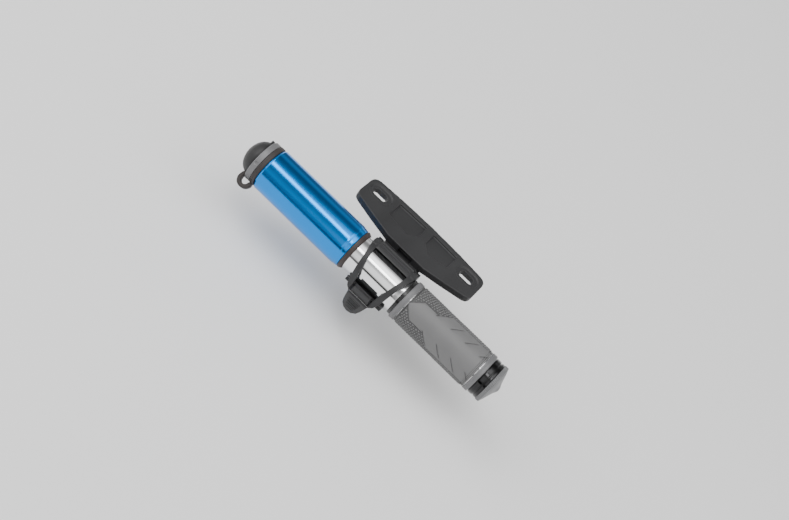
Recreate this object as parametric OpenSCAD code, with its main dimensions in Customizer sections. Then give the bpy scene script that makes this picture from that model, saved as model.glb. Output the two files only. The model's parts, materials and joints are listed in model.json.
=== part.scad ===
// Compact bicycle mini pump on a bottle-cage side bracket.
// X runs along the pump, with the hose chuck at -X and the end cap at +X.
// Z is the outward normal of the bracket plate; the origin is the centre
// of the two slots on the plate underside.

/* [Pump tubes] */
// Outside radius of the blue anodised outer sleeve
sleeve_r = 12.8; // [12.5:0.1:13.2]
// Outside radius of the polished inner barrel
barrel_r = 10.75; // [10.7:0.01:10.8]
// Outside radius of the rubber grip
grip_r = 12.3; // [12.0:0.1:13.0]
// Outside radius of the hollow piston rod
rod_r = 6.0; // [5.8:0.1:6.1]
// Outside radius of the air hose
hose_r = 2.9; // [2.7:0.05:2.95]

/* [End pieces] */
// Height of the rubber dust cap above the end collar
dome_h = 8.3; // [8.1:0.1:9.5]
// Height of the shallow cone on the end cap
cone_h = 3.8; // [2.5:0.1:5.0]
// Number of knurl grooves around the end cap ring
knurl_n = 40; // [24:2:48]
// Number of grip flutes around the hose chuck
flute_n = 16; // [8:1:20]

/* [Bracket] */
// Distance between the two cage bolts
bolt_spacing = 64; // [60:1:68]
// Width of each bolt slot
slot_w = 5.3; // [5.0:0.1:5.8]
// End-to-end length of each bolt slot
slot_len = 9.5; // [7:0.5:10]
// Depth of the shallow relief pockets in the plate
relief_d = 1.2; // [0.6:0.1:1.6]

/* [Strap] */
// Thickness of the rubber retaining strap
strap_t = 2.2; // [1.8:0.1:2.2]

/* [Hidden] */

// Pump axis in the bracket frame
tilt = 46;
axis_y = -35;
axis_z = -6.5;
hose_end_shift = 1.0; // offset of the hose-end pieces towards -X

// Bores, and the radii of parts that fit on or in the tubes
sleeve_ir = 11.6;
barrel_ir = barrel_r - 1.0;
rod_ir = rod_r - 1.3;
hose_ir = 1.3;
plug_r = 11.55;                 // rod anchor and collar, inside the sleeve
on_barrel_r = barrel_r + 0.05;
wiper_ir = barrel_r + 0.08;
in_barrel_r = barrel_ir - 0.02;
piston_r = barrel_ir - 0.08;
in_rod_r = rod_ir - 0.08;
on_rod_r = rod_r + 0.02;
rod_slide_r = rod_r + 0.08;
on_hose_r = hose_r + 0.02;
hose_slide_r = hose_r + 0.1;
end_ring_ir = 4.05;             // rings threaded on the end cap stem

// Hose end, in the pump frame
collar_face_x = -87.7;
screw_x = -86.0;
screw_angle = 14;
tether_w = 5.2;
cap_arm_w = 2.4;
hook_ro = 4.5;
hook_ri = 2.1;
hook_y = -13.5;
pin_x = -85.9;
pin_y = hook_y - (hook_ro + hook_ri) / 2;
cap_face_x = 81.3;              // flat of the end cap, where the cone starts

// Bracket
plate_t = 4;
foot_half = 12.4;               // half length of the straight plate edge
foot_y = -19.5;
seat_r = 5.2;                   // recess around each slot
seat_d = 0.7;
cradle_x = -0.6;                // middle of the cradle and strap
cradle_r = 14.1;
cradle_len = 22.6;
arm_len = 24.8;
arm_top_z = 1.2;
tongue_half = 5.6;
pad_len = 22.0;
reach = 20;                     // how far cutting bodies extend

// Strap, in the pump frame
strap_ir = barrel_r + 0.4;
strap_or = strap_ir + strap_t;
strap_w = 30.4;
anchor_y = 12.9;
anchor_z = -5.5;
lug_w = 3.4;
lug_end = 15.0;                 // lug outer face from cradle_x
fold_angle = 77;
tail_angle = 38;                // where the strap leaves its arc on the -Y side

// Colours shared by several pieces
black = [0.08, 0.08, 0.08];
brass = [0.7, 0.58, 0.32];
collar_grey = [0.6, 0.61, 0.62];
chrome = [0.85, 0.86, 0.88];
strap_grey = [0.14, 0.14, 0.14];

// Right halves of symmetric outlines, [x, y]
plate_half = [[foot_half, foot_y], [26, -16.2], [38.4, -12.7], [40.6, -11.3],
  [41.5, -8.8], [41.5, 3.0], [40.9, 5.4], [39.3, 7.0], [37.0, 7.7],
  [20, 8.9], [0, 9.4]];
strap_half = [[15.2, 15], [15.0, 10.9], [14.4, 8.6], [13.4, 4.4], [12.7, 1.3],
  [12.0, -3.3], [11.2, -7.9], [10.8, -10.6], [10.0, -12.9], [9.5, -14.5],
  [8.8, -15.5], [7.4, -16.4], [6.75, -17.2], [6.2, -19.5], [5.6, -21.5],
  [4.7, -23.4], [2.6, -24.9], [0, -25.4]];
window_half = [[11.2, 8.8], [10.7, 5.0], [10.2, 2.5], [9.6, 0], [8.9, -3.4],
  [8.4, -5.8], [7.9, -7.6], [7.3, -9.0], [7.2, -11.0], [6.8, -14.0],
  [6.8, -16.8]];
// Relief pockets in the plate, [x, y]
relief_outlines = [
  [[-21, -7.0], [-6.8, -9.0], [-1.6, -3.7], [-1.6, 6.0], [-21, 5.4]],
  [[3.7, -3.7], [8.9, -9.0], [21, -6.2], [21, 5.4], [3.7, 6.0]]];
// Sections across X, [y, z]: the rib in the plate frame, the rest in the pump frame
rib_section = [[foot_y, 2.0], [foot_y, -1.4], [-17.0, -1.6], [-14.6, 0.6], [-14.6, 2.0]];
neck_section = [[18.296, -5.27], [15.39, -8.076], [12.4, -5.0], [9, -8.5],
  [5, -13.2], [12.5, -12.4], [19.695, -10.174], [21.422, -8.507]];
tongue_section = [[-10.8, -3], [-11.2, 5.3], [-11.8, 6.0], [-15.2, 6.0],
  [-16.0, 5.2], [-16.3, 2.0], [-15.6, 0], [-12.5, -5]];
opening_section = [[barrel_r + 0.13, -0.5], [barrel_r + 0.17, 0],
  [barrel_r - 2.45, 30], [-barrel_r - 2.79, 30],
  [-barrel_r - 0.17, 0], [-barrel_r - 0.13, -0.5]];

// ---- helpers ----
// closes a half outline with its mirror image in x, without doubling x = 0
function mirrored(half) = concat(half,
  [for (i = [len(half) - 1:-1:0]) if (half[i][0] != 0) [-half[i][0], half[i][1]]]);
// [y, z] at an angle from +Z towards +Y
function polar(radius, angle) = [radius * sin(angle), radius * cos(angle)];

// places children in the pump frame
module pump() translate([0, axis_y, axis_z]) rotate([tilt, 0, 0]) children();
module hose_end() translate([-hose_end_shift, 0, 0]) children();
// turned piece about the pump axis, points [radius, x]
module rev(points) pump() rotate([0, 90, 0]) rotate_extrude($fn = 96) polygon(points);
module tube(outer, inner, x0, x1)
  rev([[inner, x0], [outer, x0], [outer, x1], [inner, x1]]);
// tube with both outer edges cut back by edge = [radial, along x]
module bevelled_tube(outer, inner, x0, x1, edge)
  rev([[inner, x0], [outer - edge[0], x0], [outer, x0 + edge[1]],
    [outer, x1 - edge[1]], [outer - edge[0], x1], [inner, x1]]);
module oring(centre_r, cord_r, x) pump() rotate([0, 90, 0]) rotate_extrude($fn = 96)
  translate([centre_r, x]) circle(r = cord_r, $fn = 32);
module x_cylinder(start, radius, length, sides) translate(start) rotate([0, 90, 0])
  cylinder(r = radius, h = length, $fn = sides);
// cylinders along X, evenly spaced around the pump axis
module cylinders_around(count, centre_r, x, radius, length, sides) pump()
  for (i = [0:count - 1]) rotate([i * 360 / count, 0, 0])
    x_cylinder([x, 0, centre_r], radius, length, sides);
// section [y, z] extruded along X
module prism(section, x0, x1) translate([x0, 0, 0]) rotate([90, 0, 90])
  linear_extrude(height = x1 - x0) polygon(section);

// ---- handle: sleeve, collar, rod, piston ----
module outer_sleeve() color([0.16, 0.52, 0.80]) rev([[sleeve_ir, -82.3],
  [sleeve_r - 0.75, -82.3], [sleeve_r, -81.0], [sleeve_r, -24.0],
  [sleeve_r - 0.25, -22.2], [sleeve_r - 0.7, -21.2], [sleeve_ir, -20.8]]);

module wiper_ring() color([0.2, 0.18, 0.17]) rev([[wiper_ir, -26.0],
  [sleeve_ir - 0.03, -26.0], [sleeve_ir - 0.03, -20.75], [12.0, -20.75],
  [12.3, -20.3], [12.2, -19.7], [11.4, -18.35], [11.15, -18.1], [wiper_ir, -18.1]]);

// set screw frame: Z points radially out of the collar
module at_screw() pump() translate([screw_x, 0, 0]) rotate([screw_angle, 0, 0]) children();

module end_collar() color(collar_grey) difference() {
  rev([[8.0, -88.8], [8.85, -88.8], [8.85, collar_face_x], [12.0, collar_face_x],
    [12.5, -87.2], [12.5, -84.6], [12.3, -84.3], [plug_r, -84.3],
    [plug_r, -79.2], [6.6, -79.2], [6.6, -84.5]]);
  at_screw() translate([0, 0, 10.4]) cylinder(r = 1.0, h = 4, $fn = 32);
}

module collar_set_screw() color([0.35, 0.35, 0.36]) at_screw() difference() {
  translate([0, 0, 10.45]) cylinder(r = 0.95, h = 1.65, $fn = 32);
  translate([0, 0, 11.3]) cylinder(r = 0.5, h = 2, $fn = 6); // hex socket
}

// cylinder on the tether pin axis, centred on z = 0
module on_pin(radius, length, sides) translate([pin_x, pin_y, -length / 2])
  cylinder(r = radius, h = length, $fn = sides);

// quarter bend ending in a knuckle on the pin; cut_x picks the half to remove
module pin_hook(width, bore_h, cut_x) {
  translate([pin_x, hook_y, -width / 2]) difference() {
    cylinder(r = hook_ro, h = width, $fn = 48);
    translate([0, 0, -1]) cylinder(r = hook_ri, h = bore_h, $fn = 48);
    translate([cut_x, -20, -1]) cube([10, 40, 8]);
    translate([-10, 0, -1]) cube([20, 20, 8]);
  }
  on_pin(1.2, width, 32);
}

module tether_ring() color([0.16, 0.15, 0.15]) union() {
  bevelled_tube(12.6, plug_r + 0.03, -84.1, -81.4, edge = [0.2, 0.25]);
  pump() difference() {
    union() {
      translate([pin_x + hook_ri, -13.8, -tether_w / 2])
        cube([hook_ro - hook_ri, 1.6, tether_w]);
      pin_hook(tether_w, bore_h = 8, cut_x = -10);
    }
    on_pin(0.5, 6, 24);
    on_pin(3.4, 2.6, 48); // gap for the cap's knuckle
  }
}

module tether_pin() color([0.7, 0.7, 0.7]) pump() on_pin(0.46, tether_w, 24);

module rod_anchor() color([0.3, 0.31, 0.33]) rev([[6.6, -79.1],
  [plug_r, -79.1], [plug_r, -61.0], [plug_r - 0.5, -60.5],
  [on_rod_r, -60.5], [on_rod_r, -64.5], [hose_slide_r, -64.5],
  [hose_slide_r, -65.6], [4.4, -65.6], [4.4, -67.2], [hose_slide_r, -67.2],
  [hose_slide_r, -68.2], [6.6, -68.2]]);

module hose_gland_oring() color(black) oring(hose_r + 0.75, 0.66, -66.4);

module piston_rod() color([0.78, 0.78, 0.8]) tube(rod_r, rod_ir, -65.4, 61.0);

module piston_head() color([0.25, 0.26, 0.28]) rev([[on_rod_r, 56],
  [piston_r, 56], [piston_r, 59.0], [8.0, 59.0], [8.0, 62.0],
  [piston_r, 62.0], [piston_r, 65.6], [9.3, 66.0],
  [1.4, 66.0], [1.4, 64.6], [2.7, 63.3], [2.7, 61.1], [on_rod_r, 61.1]]);

module piston_seal() color(black) rev([[8.03, 59.1], [9.2, 59.1],
  [in_barrel_r, 61.4], [in_barrel_r, 61.9], [9.1, 61.9],
  [8.85, 60.4], [8.6, 61.9], [8.03, 61.9]]);

module ball_retainer() color([0.72, 0.6, 0.3]) difference() {
  tube(rod_ir - 0.03, 1.0, 58.4, 59.9);
  cylinders_around(4, centre_r = 2.9, x = 58, radius = 0.8, length = 3, sides = 24);
}

module bumper_ring() color([0.1, 0.1, 0.1])
  bevelled_tube(9.0, rod_r + 0.05, 53.6, 55.9, edge = [0.4, 0.4]);

module check_ball() color([0.75, 0.75, 0.76]) pump()
  translate([62.86, 0, 0]) rotate([0, 90, 0]) rotate_extrude($fn = 48)
    intersection() {
      circle(r = 2.2, $fn = 64);
      translate([0, -3]) square([3, 6]);
    }

// ---- hose and chuck ----
module air_hose() color([0.07, 0.07, 0.07]) tube(hose_r, hose_ir, -74.0, 44.0);

module hose_inner_stop() color([0.74, 0.6, 0.3]) rev([[on_hose_r, 40.0],
  [rod_ir - 0.38, 40.0], [in_rod_r, 40.3], [in_rod_r, 42.9], [3.8, 42.9],
  [3.8, 43.9], [in_rod_r, 43.9], [in_rod_r, 46.2], [rod_ir - 0.38, 46.5],
  [hose_ir, 46.5], [hose_ir, 44.05], [on_hose_r, 44.05]]);

module hose_stop_oring() color(black) oring(rod_ir - 0.45, 0.42, 43.4);

module hose_nipple() color([0.76, 0.76, 0.78]) rev([[hose_ir, -80.9], [4.02, -80.9],
  [4.02, -78.1], [3.0, -78.1], [3.0, -73.9], [4.0, -73.9], [4.3, -73.6],
  [4.3, -69.0], [4.0, -68.7], [on_hose_r, -68.7], [on_hose_r, -73.05],
  [hose_ir, -73.05]]);

module thread_lock_chuck() color([0.62, 0.63, 0.65]) difference() {
  rev([[2.7, -88.9], [4.1, -88.9], [4.4, -88.6], [4.4, -88.0], [6.3, -86.2],
    [6.3, -74.6], [6.0, -74.2], [3.08, -74.2], [3.08, -78.0], [4.1, -78.0],
    [4.1, -83.2], [2.7, -83.2]]);
  cylinders_around(flute_n, centre_r = 6.6, x = -85.6, radius = 0.6, length = 10, sides = 24);
}

module chuck_gasket() color(black) tube(4.05, 2.3, -83.1, -81.0);

// ---- rubber dust cap ----
module dust_cap() color([0.09, 0.09, 0.09]) difference() {
  union() {
    rev([[9.15, -87.75], [10.4, -87.75], [10.35, -89.2], [9.7, -91.3],
      [8.2, -93.3], [5.6, -95.0], [2.6, collar_face_x - dome_h + 0.15],
      [0, collar_face_x - dome_h], [0, -94.8], [4.7, -94.3], [7.1, -93.0],
      [8.5, -91.2], [9.15, -89.2]]);
    pump() {
      // pull lip
      translate([-90.2, 9.6, -tether_w / 2]) cube([2.3, 2.3, tether_w]);
      // tether arm down to the pivot
      translate([-90.3, -13.8, -tether_w / 2]) cube([2.25, 3.9, tether_w]);
      pin_hook(cap_arm_w, bore_h = 5, cut_x = 0);
    }
  }
  pump() on_pin(0.54, 4, 24);
}

// ---- barrel, grip and end cap ----
module inner_barrel() color([0.86, 0.87, 0.88]) tube(barrel_r, barrel_ir, -58.9, 72.0);

module barrel_gland() color(brass) rev([[rod_slide_r, -59.9],
  [barrel_r - 0.3, -59.9], [barrel_r - 0.03, -59.6], [barrel_r - 0.03, -58.95],
  [in_barrel_r, -58.95], [in_barrel_r, -49.3], [9.3, -49.0],
  [rod_slide_r, -49.0], [rod_slide_r, -53.6], [7.7, -53.6], [7.7, -55.4],
  [rod_slide_r, -55.4]]);

module gland_oring() color(black) oring(rod_r + 0.85, 0.8, -54.5);

module barrel_end_plug() color(brass) rev([[0, 66.6], [9.3, 66.6],
  [in_barrel_r, 67.0], [in_barrel_r, 68.2], [8.2, 68.2], [8.2, 70.0],
  [in_barrel_r, 70.0], [in_barrel_r, 71.9], [4.0, 71.9], [4.0, 68.3], [0, 68.3]]);

module end_plug_oring() color(black) oring(8.98, 0.74, 69.1);

module gap_ring() color([0.06, 0.06, 0.06]) tube(11.3, on_barrel_r, 14.7, 16.65);

module grip_front_collar() color([0.62, 0.63, 0.64]) rev([[on_barrel_r, 16.7],
  [11.8, 16.7], [12.2, 17.1], [12.2, 19.6], [11.9, 20.0], [on_barrel_r, 20.0]]);

module rubber_grip() color([0.5, 0.5, 0.5])
  bevelled_tube(grip_r, on_barrel_r, 20.2, 69.8, edge = [0.4, 0.5]);

module grip_rear_collar() color(collar_grey) rev([[on_barrel_r, 70.1],
  [11.7, 70.1], [12.1, 70.5], [12.1, 72.8], [11.8, 73.1], [end_ring_ir, 73.1],
  [end_ring_ir, 72.1], [on_barrel_r, 72.1]]);

module chrome_band_inner() color(chrome)
  bevelled_tube(11.6, end_ring_ir, 73.45, 76.5, edge = [0.3, 0.3]);

module chrome_band_outer() color(chrome)
  bevelled_tube(11.5, end_ring_ir, 76.9, 78.8, edge = [0.3, 0.3]);

module band_spacers() color(black) union() {
  tube(10.9, end_ring_ir, 73.13, 73.42);
  tube(10.9, end_ring_ir, 76.53, 76.87);
}

module end_cap() color([0.5, 0.51, 0.52]) difference() {
  rev([[0, 68.4], [3.98, 68.4], [3.98, 78.83], [11.4, 78.83], [11.7, 79.1],
    [11.7, 81.0], [11.4, cap_face_x], [2.2, cap_face_x + cone_h - 0.2],
    [0, cap_face_x + cone_h]]);
  cylinders_around(knurl_n, centre_r = 11.95, x = 78.5, radius = 0.5, length = 3.2, sides = 16);
}

// ---- bracket with cradle and liner ----
// round-ended body along X with the end centres of a bolt slot
module slot_body(radius, height) {
  travel = slot_len - slot_w;
  for (x = [-travel / 2, travel / 2])
    translate([x, 0, 0]) cylinder(r = radius, h = height, $fn = 48);
  translate([-travel / 2, -radius, 0]) cube([travel, 2 * radius, height]);
}

module plate() difference() {
  linear_extrude(height = plate_t) polygon(mirrored(plate_half));
  for (x = [-bolt_spacing / 2, bolt_spacing / 2]) {
    translate([x, 0, -1]) slot_body(slot_w / 2, 8);
    translate([x, 0, plate_t - seat_d]) slot_body(seat_r, 4);
  }
  for (outline = relief_outlines)
    translate([0, 0, plate_t - relief_d]) linear_extrude(height = 4) polygon(outline);
}

module cradle() pump() difference() {
  union() {
    x_cylinder([cradle_x - cradle_len / 2, 0, 0], cradle_r, cradle_len, 96);
    // wider lower arm
    intersection() {
      x_cylinder([cradle_x - arm_len / 2, 0, 0], cradle_r, arm_len, 96);
      translate([-reach, -reach, -11]) cube([2 * reach, reach - 6, arm_top_z + 11]);
    }
    // anchor boss of the strap
    x_cylinder([cradle_x - cradle_len / 2, anchor_y, anchor_z], 2.2, cradle_len, 48);
    // neck up to the plate
    prism(neck_section, cradle_x - cradle_len / 2, cradle_x + cradle_len / 2);
    // hook tongue for the strap
    prism(tongue_section, cradle_x - tongue_half, cradle_x + tongue_half);
  }
  // opening on the +Z side, sloped the way the barrel lifts out
  prism(opening_section, -reach, reach);
  x_cylinder([-reach, 0, 0], barrel_r + 1.1, 2 * reach, 96);
  // lip and lower arm are cut short of the strap, leaving the tongue
  translate([-reach, 0, 1.8]) cube([2 * reach, reach, reach]);
  translate([-reach, -reach, arm_top_z]) cube([reach + cradle_x - tongue_half, reach, reach]);
  translate([cradle_x + tongue_half, -reach, arm_top_z]) cube([reach, reach, reach]);
  // strap anchor bore
  x_cylinder([-reach, anchor_y, anchor_z], 1.38, 2 * reach, 48);
}

module bracket_body() color([0.24, 0.24, 0.25]) difference() {
  union() {
    plate();
    prism(rib_section, -foot_half, foot_half);
    cradle();
  }
  // notch in the straight edge
  translate([-4.2, -19.7, -0.8]) cube([9.9, 3.6, 4.0]);
}

module cradle_pad() color([0.12, 0.12, 0.12]) pump() difference() {
  x_cylinder([cradle_x - pad_len / 2, 0, 0], barrel_r + 1.07, pad_len, 96);
  x_cylinder([cradle_x - pad_len / 2 - 1, 0, 0], barrel_r + 0.07, pad_len + 2, 96);
  translate([-reach, -reach, -0.6]) cube([2 * reach, 2 * reach, reach]);
}

// ---- strap ----
// cylinder along X on the strap, centred on cradle_x
module strap_line(centre_r, angle, radius, half_len, sides) {
  centre = polar(centre_r, angle);
  x_cylinder([cradle_x - half_len, centre[0], centre[1]], radius, 2 * half_len, sides);
}

module strap_anchor() color(strap_grey) pump() union() {
  // two lugs joining the strap to eyes on the anchor pin
  for (x = [cradle_x - lug_end, cradle_x + lug_end - lug_w]) {
    difference() {
      prism(concat(
        [for (angle = [77.5, 80.75, 84]) polar(strap_ir, angle)],
        [[anchor_y - 1.09, anchor_z - 0.11], [anchor_y + 1.09, anchor_z + 0.11]],
        [for (angle = [84, 80.75, 77.5]) polar(strap_or, angle)]), x, x + lug_w);
      strap_line(strap_or, fold_angle, 0.6, 16, 32);
    }
    x_cylinder([x, anchor_y, anchor_z], 1.9, lug_w, 48);
  }
  x_cylinder([cradle_x - 14.0, anchor_y, anchor_z], 1.3, 28.0, 48);
}

// flat full-width strip between two mid-thickness points [y, z]
module strap_strip(start, end) {
  run = end - start;
  translate([cradle_x - strap_w / 2, start[0], start[1]])
    rotate([atan2(run[1], run[0]), 0, 0])
      translate([0, 0, -strap_t / 2]) cube([strap_w, norm(run), strap_t]);
}

// untrimmed strap: an arc over the barrel and two flat strips
module strap_sheet() {
  edge_angle = fold_angle - 0.5;
  rotate([0, 90, 0]) rotate([0, 0, 180 - edge_angle])
    rotate_extrude(angle = edge_angle + tail_angle, $fn = 96)
      translate([strap_ir, cradle_x - strap_w / 2]) square([strap_t, strap_w]);
  strap_strip(polar(strap_ir + strap_t / 2, -tail_angle), [-17.2, 2.1]);
  strap_strip([-16.9, 2.3], [-26.0, 3.6]);
}

module strap() color(strap_grey) pump() union() {
  difference() {
    intersection() {
      strap_sheet();
      translate([cradle_x, 0, -12]) linear_extrude(height = 32) polygon(mirrored(strap_half));
    }
    // one opening: the window over the barrel and the hole for the tongue
    translate([cradle_x, 0, -14]) linear_extrude(height = 36) polygon(mirrored(window_half));
  }
  // ribs across the strap
  for (angle = [45.5, 50.5, 55.5, 63]) strap_line(strap_or - 0.05, angle, 0.42, 11.0, 24);
  strap_line(strap_or, fold_angle, 0.45, 15.0, 32);
}

outer_sleeve();
wiper_ring();
hose_end() end_collar();
hose_end() collar_set_screw();
hose_end() tether_ring();
hose_end() tether_pin();
hose_end() rod_anchor();
hose_end() hose_gland_oring();
piston_rod();
piston_head();
piston_seal();
ball_retainer();
bumper_ring();
check_ball();
air_hose();
hose_inner_stop();
hose_stop_oring();
hose_end() hose_nipple();
hose_end() thread_lock_chuck();
hose_end() chuck_gasket();
hose_end() dust_cap();
inner_barrel();
barrel_gland();
gland_oring();
barrel_end_plug();
end_plug_oring();
gap_ring();
grip_front_collar();
rubber_grip();
grip_rear_collar();
chrome_band_inner();
chrome_band_outer();
band_spacers();
end_cap();
bracket_body();
cradle_pad();
strap_anchor();
strap();
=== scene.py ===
"""Hand pump: blue sleeve, polished barrel, patterned rubber grip, nylon bracket with rubber strap.

The pump lies along X, with the dust cap at the -X end and the grip at the +X end. Pieces are
drawn in mm in the pump's own frame: x along the axis, "across" square to it and upwards in
the view, "out" towards the camera. place() and to_world() turn that frame into scene metres.
"""

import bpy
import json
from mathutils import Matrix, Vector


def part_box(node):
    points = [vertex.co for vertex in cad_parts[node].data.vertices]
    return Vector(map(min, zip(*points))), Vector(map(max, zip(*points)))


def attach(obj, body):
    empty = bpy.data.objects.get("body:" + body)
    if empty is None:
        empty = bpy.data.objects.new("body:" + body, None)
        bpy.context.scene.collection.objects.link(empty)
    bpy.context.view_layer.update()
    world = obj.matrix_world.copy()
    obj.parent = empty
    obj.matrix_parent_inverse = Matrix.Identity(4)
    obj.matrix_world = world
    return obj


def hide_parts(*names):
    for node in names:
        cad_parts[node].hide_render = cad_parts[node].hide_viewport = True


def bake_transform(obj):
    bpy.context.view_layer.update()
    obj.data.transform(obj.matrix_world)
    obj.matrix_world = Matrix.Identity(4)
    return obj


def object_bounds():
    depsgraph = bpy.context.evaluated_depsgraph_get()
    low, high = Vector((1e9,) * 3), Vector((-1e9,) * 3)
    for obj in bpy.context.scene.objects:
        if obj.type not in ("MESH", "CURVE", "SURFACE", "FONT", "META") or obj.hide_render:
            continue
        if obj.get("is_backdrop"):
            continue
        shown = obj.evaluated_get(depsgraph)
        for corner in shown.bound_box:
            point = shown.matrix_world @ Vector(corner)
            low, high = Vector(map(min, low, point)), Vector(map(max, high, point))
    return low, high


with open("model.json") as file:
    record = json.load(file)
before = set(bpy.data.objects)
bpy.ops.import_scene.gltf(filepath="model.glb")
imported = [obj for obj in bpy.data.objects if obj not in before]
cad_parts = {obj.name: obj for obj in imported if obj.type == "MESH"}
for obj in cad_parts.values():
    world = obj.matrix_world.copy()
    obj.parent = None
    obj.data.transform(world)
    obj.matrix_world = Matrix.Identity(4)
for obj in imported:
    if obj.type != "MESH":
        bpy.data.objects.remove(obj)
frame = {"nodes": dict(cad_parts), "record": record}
CAD_LO, CAD_HI = (list(corner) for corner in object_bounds())

import json
import math
import bpy
import bmesh
import numpy as np
from mathutils import Vector, Matrix

# ---------------------------------------------------------------- pump frame
MM = 0.001
TURN = 2 * math.pi
JOINTS = {joint["name"]: joint for joint in frame["record"]["behaviour"]["joints"]}
ALONG = Vector((1, 0, 0))
OUT = Vector(JOINTS["cap_flip"]["axis"]).normalized()
ACROSS = OUT.cross(ALONG).normalized()
BASIS = np.array([list(ALONG), list(ACROSS), list(OUT)])


def x_span(node):
    """First and last x of a CAD piece, in mm."""
    lo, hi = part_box(node)
    return lo.x * 1000, hi.x * 1000


def outer_radius(node):
    """Outer radius of a round CAD piece, in mm."""
    lo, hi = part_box(node)
    return (hi.y - lo.y) * 500


barrel_lo, barrel_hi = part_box("inner_barrel")
AXIS = Vector((0, (barrel_lo.y + barrel_hi.y) / 2, (barrel_lo.z + barrel_hi.z) / 2))
BARREL_R = outer_radius("inner_barrel")


def place(x, across, out):
    return AXIS + ALONG * (x * MM) + ACROSS * (across * MM) + OUT * (out * MM)


def to_world(points):
    return np.array(AXIS)[None, :] + (np.asarray(points, float) * MM) @ BASIS


def to_pump(point):
    return ((np.asarray(point, float) - np.array(AXIS)) @ BASIS.T) / MM


# ---------------------------------------------------------------- node helpers
class NodeGraph:
    """An emptied node tree with short calls that add nodes and return an output."""

    def __init__(self, tree):
        self.nodes = tree.nodes
        self.links = tree.links
        self.nodes.clear()

    def feed(self, socket, value):
        """Sets a socket to a number, colour or vector, or links an output to it."""
        if isinstance(value, tuple):
            socket.default_value = (*value, 1) if socket.type == "RGBA" else value
        elif isinstance(value, (int, float)):
            socket.default_value = value
        else:
            self.links.new(value, socket)

    def node(self, kind, inputs=None, **settings):
        node = self.nodes.new("ShaderNode" + kind)
        for key, value in settings.items():
            setattr(node, key, value)
        for key, value in (inputs or {}).items():
            self.feed(node.inputs[key], value)
        return node

    def map_range(self, source, from_lo, from_hi, to_lo=0, to_hi=1):
        inputs = {0: source, 1: from_lo, 2: from_hi, 3: to_lo, 4: to_hi}
        return self.node("MapRange", inputs).outputs[0]

    def calc(self, operation, *values):
        return self.node("Math", dict(enumerate(values)), operation=operation).outputs[0]

    def mix(self, factor, colour_a, colour_b):
        """Colour mix; the colour sockets are inputs 6 and 7 and output 2."""
        inputs = {0: factor, 6: colour_a, 7: colour_b}
        return self.node("Mix", inputs, data_type="RGBA").outputs[2]


class Shader(NodeGraph):
    """A Principled material with object-space textures."""

    def __init__(self, name):
        self.material = bpy.data.materials.new(name)
        self.material.use_nodes = True
        super().__init__(self.material.node_tree)
        output = self.node("OutputMaterial")
        self.surface = self.node("BsdfPrincipled")
        self.feed(output.inputs[0], self.surface.outputs[0])
        self.coords = self.node("TexCoord").outputs["Object"]

    def stretched(self, scale):
        return self.node("Mapping", {"Scale": scale, "Vector": self.coords}).outputs[0]

    def noise(self, scale, detail, rough, vector=None):
        inputs = {"Scale": scale, "Detail": detail, "Roughness": rough,
                  "Vector": vector or self.coords}
        return self.node("TexNoise", inputs).outputs["Fac"]

    def cells(self, scale):
        inputs = {"Scale": scale, "Vector": self.coords}
        return self.node("TexVoronoi", inputs).outputs["Distance"]

    def vary(self, noise, low, high):
        """Spreads the busy middle of a noise over low to high."""
        return self.map_range(noise, 0.3, 0.7, low, high)

    def wear(self, start, end):
        """Rises from 0 to 1 on convex edges, between two pointiness values."""
        return self.map_range(self.node("NewGeometry").outputs["Pointiness"], start, end)

    def tint(self, base, over, factor, amount):
        """Lays one colour over another by factor times amount."""
        return self.mix(self.calc("MULTIPLY", factor, amount), base, over)

    def bump(self, height, strength, distance, below=None):
        inputs = {"Strength": strength, "Distance": distance, "Height": height}
        if below is not None:
            inputs["Normal"] = below
        return self.node("Bump", inputs).outputs[0]

    def finish(self, **inputs):
        """Feeds the Principled inputs, spaces written as underscores."""
        for name, value in inputs.items():
            self.feed(self.surface.inputs[name.replace("_", " ")], value)
        return self.material


# ---------------------------------------------------------------- materials
TURNING_DEPTH = 0.00002   # bump distances, m
GRAIN_DEPTH = 0.00004


def metal(name, colour, dark, rough, spread, lines, depth, coat=0.0, metallic=1.0, smudge=0.5):
    """Turned metal: fine rings round the axis, cloudy smudges and brighter edges.

    spread: roughness variation, lines: ring frequency along x, depth: ring bump strength.
    """
    s = Shader(name)
    rings = s.noise(scale=1.0, detail=3, rough=0.6, vector=s.stretched((lines, 18, 18)))
    cloud = s.noise(scale=55, detail=5, rough=0.6)
    fine = s.noise(scale=900, detail=3, rough=0.5)
    bright = tuple(min(1, c * 1.5 + 0.08) for c in colour)
    base = s.tint(colour, dark, cloud, amount=smudge)
    base = s.tint(base, bright, s.wear(0.53, 0.62), amount=0.35)
    roughness = s.calc("ADD", s.vary(cloud, rough - spread, rough + spread),
                       s.vary(fine, -0.015, 0.015))
    normal = s.bump(rings, depth, TURNING_DEPTH,
                    below=s.bump(fine, strength=0.03, distance=TURNING_DEPTH))
    return s.finish(Base_Color=base, Metallic=metallic, Roughness=roughness,
                    Coat_Weight=coat, Coat_Roughness=0.06, Normal=normal)


def rubber(name, colour, light, rough, grain, depth):
    """Grained rubber with light dust and rubbed edges; depth is the bump strength."""
    s = Shader(name)
    fine = s.noise(scale=grain, detail=3, rough=0.6)
    cloud = s.noise(scale=90, detail=5, rough=0.6)
    specks = s.cells(grain * 0.8)
    height = s.calc("ADD", fine, s.calc("MULTIPLY", specks, 0.5))
    base = s.tint(colour, light, cloud, amount=0.25)
    base = s.tint(base, light, s.wear(0.53, 0.60), amount=0.35)
    return s.finish(Base_Color=base, Roughness=s.vary(cloud, rough - 0.07, rough + 0.07),
                    Normal=s.bump(height, depth, GRAIN_DEPTH), Specular_IOR_Level=0.42)


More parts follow.
